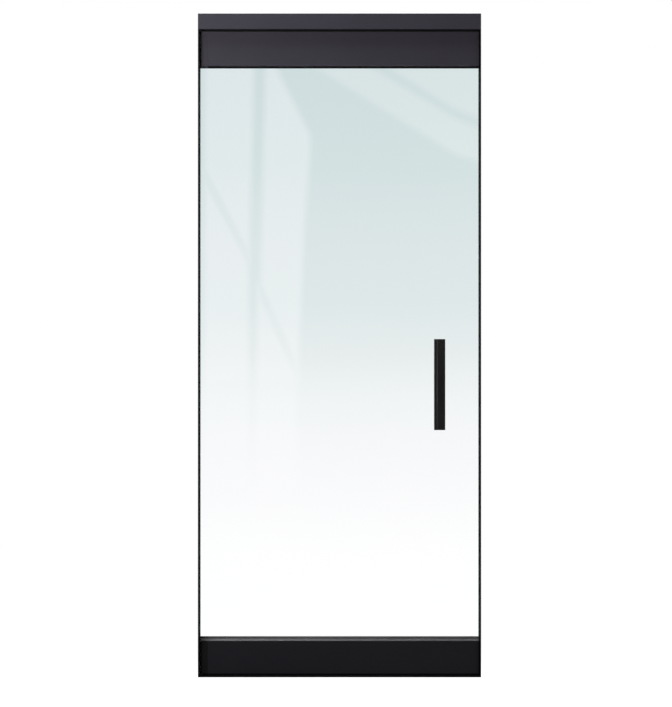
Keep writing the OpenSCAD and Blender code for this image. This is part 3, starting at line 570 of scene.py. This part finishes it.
def glass_pane():
    """The pane: arrissed all round, drilled for the handle, its rim polished."""
    low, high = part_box("glass")
    pane = block("glass_pane", low, high)
    pick(pane, "EDGE", lambda edge: True)
    bpy.ops.mesh.bevel(offset=GLASS_ARRIS, segments=1, affect="EDGES")
    back_to_object()
    for z in (HANDLE_Z - HANDLE_HOLE_STEP, HANDLE_Z + HANDLE_HOLE_STEP):
        deselect()
        bpy.ops.mesh.primitive_cylinder_add(
            vertices=48,
            radius=HANDLE_HOLE_R,
            depth=5 * GLASS_HALF,
            location=(HANDLE_X, 0, z),
            rotation=(math.pi / 2, 0, 0),
        )
        drill = placed("drill")
        apply_modifier(pane, "BOOLEAN", object=drill, operation="DIFFERENCE", solver="EXACT")
        bpy.data.objects.remove(drill)
    select_only(pane)
    pick(
        pane,
        "EDGE",
        lambda edge: sharp(edge)
        and abs(abs(middle(edge).y) - GLASS_HALF) < 0.1 * MM
        and abs(middle(edge).x - HANDLE_X) < HANDLE_HOLE_R + MM,
    )
    bpy.ops.mesh.bevel(offset=HOLE_ARRIS, segments=1, affect="EDGES")
    back_to_object()
    pane.data.materials.append(glass_body)
    pane.data.materials.append(glass_edge)
    for face in pane.data.polygons:
        face.material_index = 0 if abs(face.normal.y) > 0.99 else 1
    pane.visible_shadow = False
    return finished(pane, "leaf", "glass", None, "glass")


def grooved_bar(name, low_z, high_z):
    """A length of the front grip: a flat bar with rounded edges and a shallow finger groove in its face."""
    bar = block(
        name,
        (HANDLE_X - GRIP_HALF_W, -GRIP_FACE, low_z),
        (HANDLE_X + GRIP_HALF_W, -GRIP_BACK, high_z),
    )
    pick(bar, "EDGE", lambda edge: along(edge, 2))
    bpy.ops.mesh.bevel(offset=GRIP_EDGE_R, segments=5, affect="EDGES")
    for step in (-1, 0, 1):
        cut(bar, (GRIP_GROOVE_X + step * GRIP_GROOVE_HALF, 0, 0), (1, 0, 0))
    pick(
        bar,
        "VERT",
        lambda vert: abs(vert.co.x - GRIP_GROOVE_X) < 0.1 * MM and vert.co.y < 0.5 * MM - GRIP_FACE,
    )
    bpy.ops.transform.translate(value=(0, GRIP_GROOVE_D, 0))
    back_to_object()
    return bar


def handle_grip():
    """The bar between the caps, its cut ends broken by a fine chamfer."""
    low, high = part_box("handle_bar_front")
    bar = grooved_bar("handle_grip_front", low.z, high.z)
    ends = (low.z, high.z)
    pick(
        bar,
        "EDGE",
        lambda edge: sharp(edge) and min(abs(middle(edge).z - z) for z in ends) < SAME_POINT,
    )
    bpy.ops.mesh.bevel(offset=GRIP_CHAMFER, segments=2, affect="EDGES")
    back_to_object()
    smooth(bar, GRIP_SMOOTH_DEGREES)
    return bar


def handle_cap(name, end):
    """A cap on one end of the grip: a slim neck in a reveal, then the grip's own section."""
    low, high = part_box("handle_caps_front")
    outer = high.z if end > 0 else low.z
    inner = outer - end * (GRIP_CAP_L - GRIP_REVEAL)
    cap = grooved_bar(name, min(outer, inner), max(outer, inner))
    pick(cap, "EDGE", lambda edge: sharp(edge) and abs(middle(edge).z - outer) < SAME_POINT)
    bpy.ops.mesh.bevel(offset=GRIP_CAP_R, segments=3, affect="EDGES")
    pick(cap, "FACE", lambda face: face.normal.z * end < -0.99)
    bpy.ops.mesh.inset(thickness=1.3 * GRIP_REVEAL)
    bpy.ops.mesh.extrude_region_move(TRANSFORM_OT_translate={"value": (0, 0, -end * GRIP_REVEAL)})
    back_to_object()
    smooth(cap, GRIP_SMOOTH_DEGREES)
    return cap


def joined(name, *parts):
    """Makes one piece of several."""
    select_only(*parts)
    bpy.ops.object.join()
    piece = bpy.context.object
    piece.name = name
    piece.data.name = name
    return piece


def handle():
    """Both grips of the back-to-back handle, with their caps, posts and washers."""
    grip = handle_grip()
    back_grip = turned_round(grip, "handle_grip_back")
    finished(grip, "leaf", "handle_black", satin_black, "handle_bar_front")
    finished(back_grip, "leaf", "handle_black", satin_black, "handle_bar_back")
    caps = joined("handle_caps_front_finished", handle_cap("upper_cap", 1), handle_cap("lower_cap", -1))
    back_caps = turned_round(caps, "handle_caps_back_finished")
    finished(caps, "leaf", "handle_black", satin_black, "handle_caps_front")
    finished(back_caps, "leaf", "handle_black", satin_black, "handle_caps_back")
    for side in ("front", "back"):
        for level in ("upper", "lower"):
            eased("handle_post_%s_%s" % (side, level), "leaf", "handle_black", satin_black, COVER_EASE)
    eased("handle_washers", "leaf", "rubber", gasket_rubber, COVER_EASE)


def rail_dressing():
    """Covers and end caps of both rails, their long edges eased."""
    # The bottom rail takes the darker copy of the rail paint, which paints in shade.
    for rail, paint, slot in (("top", charcoal, "charcoal_paint"), ("bottom", black, "black_paint")):
        for side in ("front", "back"):
            eased("%s_cover_%s" % (rail, side), "leaf", slot, paint, COVER_EASE, LONG_EDGE)
            eased("%s_gasket_%s" % (rail, side), "leaf", "rubber", gasket_rubber, GASKET_EASE, LONG_EDGE)
        eased(rail + "_toe_cap", "leaf", slot, paint, FINE_EASE, CAP_EDGE)
    eased("top_heel_cap", "leaf", "charcoal_paint", charcoal, FINE_EASE, CAP_EDGE)
    eased("bottom_heel_cap", "leaf", "black_plastic", plastic, FINE_EASE, CAP_EDGE)


def frame_dressing():
    """Soffit, jambs and sill, their long edges eased."""
    eased("header_soffit", "frame", "charcoal_paint", charcoal, FINE_EASE, LONG_EDGE)
    for node in ("jamb_hinge_side", "jamb_lock_side"):
        eased(node, "frame", "frame_black", frame_black, FINE_EASE, LONG_EDGE)
    # The sill takes the darker, duller copy of the frame black, painted shade against the top lamp's light.
    eased("sill", "frame", "frame_black", sill_shaded_black, FINE_EASE, LONG_EDGE)


def bristle_strip(name, length, width, height, seat):
    """A brush strip along X from 0: its pile stands from Z = 0 round a thin fin of full height."""
    rows = 4
    steps = 3
    pitch = 1 * MM
    group = []
    for row in range(rows):
        for step in range(steps):
            across = ((row + 0.5) / rows - 0.5) * width * 0.86
            onward = (step + 0.25 + 0.5 * (row % 2)) * pitch
            tall = height * (0.90 + 0.10 * ((row * 7 + step * 5) % 4) / 3)
            deselect()
            bpy.ops.mesh.primitive_cone_add(
                vertices=3,
                radius1=0.30 * MM,
                radius2=0,
                depth=tall,
                location=(onward, across, tall / 2),
                rotation=(0, 0, row + 2 * step),
            )
            group.append(placed("bristle"))
    tufts = joined(name, *group)
    apply_modifier(
        tufts,
        "ARRAY",
        count=int(length / (steps * pitch)),
        use_relative_offset=False,
        use_constant_offset=True,
        constant_offset_displace=(steps * pitch, 0, 0),
    )
    fin = block("fin", (0, -0.15 * MM, -seat / 2), (length, 0.15 * MM, height))
    root = block("root", (0, -width / 2, -seat), (length, width / 2, 0.25 * height))
    pick(root, "EDGE", lambda edge: along(edge, 0) and middle(edge).z > 0)
    bpy.ops.mesh.bevel(offset=0.25 * width, segments=2, affect="EDGES")
    back_to_object()
    return joined(name, tufts, fin, root)


def laid(strip, turn, place):
    """Turns a strip from its making and moves it to its place."""
    strip.rotation_euler = turn
    strip.location = place
    select_only(strip)
    return placed(strip.name)


def corner_pad(y, low_z, high_z):
    """A pile pad in a hinge corner, outside the leaf's swing, that shuts off the light past the heel."""
    pad = block(
        "corner_pad",
        (-PILE_FOOT, y - PAD_SIZE / 2, low_z),
        (PAD_SIZE - PILE_FOOT, y + PAD_SIZE / 2, high_z),
    )
    pick(pad, "EDGE", lambda edge: not along(edge, 2))
    bpy.ops.mesh.bevel(offset=PAD_R, segments=3, affect="EDGES")
    back_to_object()
    return pad


def jamb_pile(name, turn, foot_x, glass_x):
    """Pile down one jamb: it reaches the caps beside the rails, and the glass between them."""
    low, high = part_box("jamb_brush_lock_side")
    cap_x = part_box("top_toe_cap")[1].x
    glass_low_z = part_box("bottom_toe_cap")[1].z + PILE_LAP
    glass_high_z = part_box("top_toe_cap")[0].z - PILE_LAP
    stretches = []
    for low_z, high_z, edge_x in (
        (low.z, glass_low_z, cap_x),
        (glass_low_z, glass_high_z, glass_x),
        (glass_high_z, high.z, cap_x),
    ):
        height = PILE_FOOT - edge_x - JAMB_PILE_GAP
        stretch = bristle_strip("stretch", high_z - low_z, 3 * MM, height, 2.2 * MM)
        stretches.append(laid(stretch, (0, -math.pi / 2, turn), (foot_x, 0, low_z)))
    return joined(name, *stretches)


def brushes():
    """Pile strips in the jambs and along both rails, tuft by tuft."""
    leaf_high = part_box("top_toe_cap")[1]
    leaf_low_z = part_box("bottom_toe_cap")[0].z
    soffit_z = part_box("header_soffit")[0].z
    sill_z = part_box("sill")[1].z
    glass_low, glass_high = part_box("glass")
    heel_sweep_x = math.hypot(glass_low.x - PIVOT_X, GLASS_HALF) - PIVOT_X
    strip = jamb_pile("jamb_brush_lock_pile", 0, PILE_FOOT, glass_high.x)
    other = jamb_pile("jamb_brush_hinge_pile", math.pi, -PILE_FOOT, heel_sweep_x)
    gaps = ((leaf_high.z - PILE_LAP, soffit_z), (sill_z, leaf_low_z + PILE_LAP))
    pads = [corner_pad(y, *gap) for y in (-PAD_Y, PAD_Y) for gap in gaps]
    other = joined("jamb_brush_hinge_pile", other, *pads)
    finished(strip, "frame", "brush_pile", fibre, "jamb_brush_lock_side")
    finished(other, "frame", "brush_pile", fibre, "jamb_brush_hinge_side")
    for rail, foot, target, turn in (
        ("top", leaf_high.z, soffit_z, (0, 0, 0)),
        ("bottom", leaf_low_z, sill_z, (math.pi, 0, 0)),
    ):
        low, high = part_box(rail + "_brushes")
        height = abs(target - foot) - RAIL_PILE_GAP
        rows = []
        for y in (low.y + MM, high.y - MM):
            row = bristle_strip("row", high.x - low.x, 2 * MM, height, 4 * MM)
            rows.append(laid(row, turn, (low.x, y, foot)))
        pair = joined(rail + "_brush_piles", *rows)
        finished(pair, "leaf", "brush_pile", fibre, rail + "_brushes")


glass_pane()
handle()
rail_dressing()
frame_dressing()
brushes()


# Studio

EYE = Vector((-0.0111, -60.05, 1.0243))
FRAME_HEIGHT = 2.2364
FRONT_Y = -0.05
SHEET_TOP = 3.0
SHEET_WHITE = (1.05, 1.05, 1.05)
SHEET_FADE = (0.5, 1.0)
BACKDROP_Y = 2.5
PANEL_Y = -3.0
SOFT_EDGE = 26 * MM


def camera():
    """A long lens, level and square to the door."""
    lens = bpy.data.cameras.new("camera")
    lens.sensor_width = 36
    lens.lens = lens.sensor_width * (FRONT_Y - EYE.y) / FRAME_HEIGHT
    lens.clip_end = 200
    eye = bpy.data.objects.new("camera", lens)
    eye.location = EYE
    eye.rotation_euler = (math.pi / 2, 0, 0)
    bpy.context.scene.collection.objects.link(eye)
    bpy.context.scene.camera = eye


def soft_light(name, place, aim, width, height, watts):
    """A white rectangle of light, unseen through the glass."""
    light = bpy.data.lights.new(name, "AREA")
    light.shape = "RECTANGLE"
    light.size = width
    light.size_y = height
    light.energy = watts
    lamp = bpy.data.objects.new(name, light)
    lamp.location = place
    lamp.rotation_euler = (Vector(aim) - Vector(place)).to_track_quat("-Z", "Y").to_euler()
    lamp.visible_transmission = False
    bpy.context.scene.collection.objects.link(lamp)


def surroundings(level):
    """White where the camera or a look through the glass meets it, dimmer as a light source."""
    world = bpy.data.worlds.new("studio")
    world.use_nodes = True
    bpy.context.scene.world = world
    tree = world.node_tree
    path = tree.nodes.new("ShaderNodeLightPath")
    seen = tree.nodes.new("ShaderNodeMath")
    seen.operation = "MAXIMUM"
    tree.links.new(path.outputs["Is Camera Ray"], seen.inputs[0])
    tree.links.new(path.outputs["Is Transmission Ray"], seen.inputs[1])
    strength = remap(tree, seen.outputs["Value"], level, 1.0, 0.0, 1.0)
    tree.links.new(strength, tree.nodes["Background"].inputs["Strength"])
    tree.nodes["Background"].inputs["Color"].default_value = (1, 1, 1, 1)


def pale_floor():
    """A floor as white as its surroundings, which lights nothing."""
    deselect()
    bpy.ops.mesh.primitive_plane_add(size=80)
    floor = placed("floor")
    material, tree, shader, place = start_material("pale_floor")
    cloud = noise(tree, place, 0.6)
    tree.links.new(
        shades(tree, cloud, (0.3, (0.09, 0.09, 0.09)), (0.7, (0.11, 0.11, 0.11))),
        shader.inputs["Base Color"],
    )
    shader.inputs["Roughness"].default_value = 0.8
    shader.inputs["Emission Color"].default_value = (1, 1, 1, 1)
    shader.inputs["Emission Strength"].default_value = 0.98
    floor.data.materials.append(material)
    floor.visible_diffuse = False
    floor.visible_glossy = False


def glow(name, strength, *stops, fades=False, soft=False):
    """Light of that strength, coloured by height from (height in metres, colour) stops.

    One that fades turns white towards its sides. A soft one follows its sheet's own shine, and what lies
    behind it shows through.
    """
    material = bpy.data.materials.new(name)
    material.use_nodes = True
    tree = material.node_tree
    tree.nodes.remove(tree.nodes["Principled BSDF"])
    place = tree.nodes.new("ShaderNodeTexCoord")
    split = tree.nodes.new("ShaderNodeSeparateXYZ")
    tree.links.new(place.outputs["Object"], split.inputs["Vector"])
    level = remap(tree, split.outputs["Z"], 0.0, 1.0, 0.0, SHEET_TOP)
    emission = tree.nodes.new("ShaderNodeEmission")
    emission.inputs["Strength"].default_value = strength
    colours = shades(tree, level, *[(z / SHEET_TOP, colour) for z, colour in stops])
    if fades:
        aside = calculate(tree, "ABSOLUTE", split.outputs["X"], 0.0)
        white = scaled(SHEET_WHITE, 1 / strength)
        colours = mixed(tree, remap(tree, aside, 0.0, 1.0, *SHEET_FADE), colours, white)
    if soft:
        shine = tree.nodes.new("ShaderNodeAttribute")
        shine.attribute_name = "shine"
        colours = mixed(tree, shine.outputs["Fac"], (0.0, 0.0, 0.0), colours)
    tree.links.new(colours, emission.inputs["Color"])
    surface = emission.outputs["Emission"]
    if soft:
        clear = tree.nodes.new("ShaderNodeBsdfTransparent")
        both = tree.nodes.new("ShaderNodeAddShader")
        tree.links.new(surface, both.inputs[0])
        tree.links.new(clear.outputs["BSDF"], both.inputs[1])
        surface = both.outputs["Shader"]
    output = next(node for node in tree.nodes if node.type == "OUTPUT_MATERIAL")
    tree.links.new(surface, output.inputs["Surface"])
    return material


# Corners of the reflections on the glass, clockwise: a barred window, and a slanting one at upper right.
WINDOW_PANES = {
    "window_upper_left": ((-0.426, 1.955), (-0.2705, 1.955), (-0.287, 1.341), (-0.426, 1.604)),
    "window_lower_left": ((-0.426, 1.572), (-0.2885, 1.311), (-0.291, 0.60), (-0.426, 0.60)),
    "window_upper_right": (
        (-0.2335, 1.955),
        (-0.2135, 1.955),
        (-0.0925, 1.715),
        (-0.0935, 1.655),
        (-0.112, 1.420),
        (-0.128, 1.050),
        (-0.131, 0.974),
        (-0.249, 1.240),
    ),
    "window_lower_right": ((-0.258, 1.223), (-0.133, 0.942), (-0.138, 0.60), (-0.264, 0.60)),
}
SLANT_PANES = {
    "slant_lower": (
        (-0.116, 1.955),
        (0.054, 1.955),
        (0.367, 1.768),
        (0.470, 1.724),
        (0.470, 1.623),
        (0.367, 1.655),
    ),
    "slant_upper": ((0.1165, 1.955), (0.470, 1.955), (0.470, 1.760), (0.367, 1.798)),
}


def seen_at(x, z, distance):
    """The point at that distance past the door's plane which the camera sees at (x, z) of that plane."""
    growth = (distance - EYE.y) / -EYE.y
    return EYE.x + (x - EYE.x) * growth, EYE.z + (z - EYE.z) * growth


def only_for(sheet, rays):
    """Leaves a sheet of light to be seen by one kind of ray."""
    for kind in ("camera", "diffuse", "glossy", "transmission", "volume_scatter", "shadow"):
        setattr(sheet, "visible_" + kind, kind == rays)


def backdrop():
    """A graded sheet behind the door that only shows through the glass: aqua above, white below."""
    tints = (
        (0.15, (1.035, 0.980, 0.993)),
        (0.40, (1.017, 0.964, 0.977)),
        (0.70, (0.956, 0.908, 0.938)),
        (0.87, (0.901, 0.880, 0.900)),
        (1.03, (0.816, 0.815, 0.830)),
        (1.19, (0.740, 0.775, 0.795)),
        (1.35, (0.726, 0.757, 0.778)),
        (1.62, (0.659, 0.719, 0.731)),
        (1.93, (0.628, 0.690, 0.712)),
    )
    stops = [(seen_at(0, z, BACKDROP_Y)[1], colour) for z, colour in tints]
    deselect()
    bpy.ops.mesh.primitive_plane_add(
        size=SHEET_TOP, location=(0, BACKDROP_Y, SHEET_TOP / 2), rotation=(math.pi / 2, 0, 0)
    )
    sheet = placed("backdrop")
    sheet.data.materials.append(glow("graded_backdrop", 1.11, *stops, fades=True))
    only_for(sheet, "transmission")


def grown(corners, margin):
    """The corners of a panel, given clockwise, with all its sides moved out by the margin."""
    moved = []
    for before, here, after in zip(corners[-1:] + corners[:-1], corners, corners[1:] + corners[:1]):
        arriving = (Vector(here) - Vector(before)).normalized()
        leaving = (Vector(after) - Vector(here)).normalized()
        outward = Vector((-arriving.y - leaving.y, arriving.x + leaving.x))
        moved.append(Vector(here) + outward * margin / (1 + arriving.dot(leaving)))
    return moved


def reflected_panel(name, material, y, corners):
    """A sheet of light in front of the door, cornered where its soft-edged reflection shows on the glass."""
    deselect()
    bpy.ops.mesh.primitive_circle_add(vertices=len(corners), fill_type="NGON", rotation=(math.pi / 2, 0, 0))
    sheet = placed(name)
    for vertex, (x, z) in zip(sheet.data.vertices, grown(corners, SOFT_EDGE / 2)):
        across, up = seen_at(x, z, -y)
        vertex.co = (across, y, up)
    pick(sheet, "FACE", lambda face: True)
    bpy.ops.mesh.inset(thickness=SOFT_EDGE)
    back_to_object()
    shine = sheet.data.attributes.new("shine", "FLOAT", "POINT")
    for vertex in sheet.data.vertices:
        shine.data[vertex.index].value = float(vertex.select)
    sheet.data.materials.append(material)
    only_for(sheet, "glossy")


def window_reflections():
    """Soft window light on the glass, each pane a little before the last so that their rims add up."""
    window = glow(
        "window_light",
        2.4,
        (0.50, (0.0, 0.0, 0.0)),
        (0.92, (0.30, 0.27, 0.27)),
        (0.95, (0.53, 0.42, 0.47)),
        (1.25, (0.87, 0.65, 0.60)),
        (1.70, (1.07, 0.77, 0.85)),
        soft=True,
    )
    skylight = glow("slant_light", 1.5, (1.8, (1.02, 0.81, 0.73)), soft=True)
    y = PANEL_Y
    for material, panes in ((window, WINDOW_PANES), (skylight, SLANT_PANES)):
        for name, corners in panes.items():
            reflected_panel(name, material, y, corners)
            y -= MM


camera()
surroundings(0.12)
soft_light("key", (-1.05, -1.7, 2.0), (-0.1, 0, 2.0), 1.0, 1.2, 14.5)
soft_light("fill", (2.4, -4.2, 1.0), (0, 0, 0.9), 2.4, 2.4, 16)
soft_light("top", (-0.9, 0.0, 4.0), (-0.4, 0, 0), 2.6, 0.9, 114)
soft_light("handle_side", (-1.43, -2.0, 0.95), (HANDLE_X, 0, HANDLE_Z), 0.5, 0.8, 3.5)
soft_light("left_side", (-3.5, 0.4, 1.1), (-0.45, 0, 1.1), 1.0, 1.8, 45)
soft_light("right_side", (3.5, 0.4, 1.1), (0.45, 0, 1.1), 1.0, 1.8, 45)
soft_light("back", (0.6, 3.2, 3.2), (0, 0, 1.2), 2.0, 1.0, 60)
pale_floor()
backdrop()
window_reflections()
bpy.context.scene.view_settings.view_transform = "Standard"
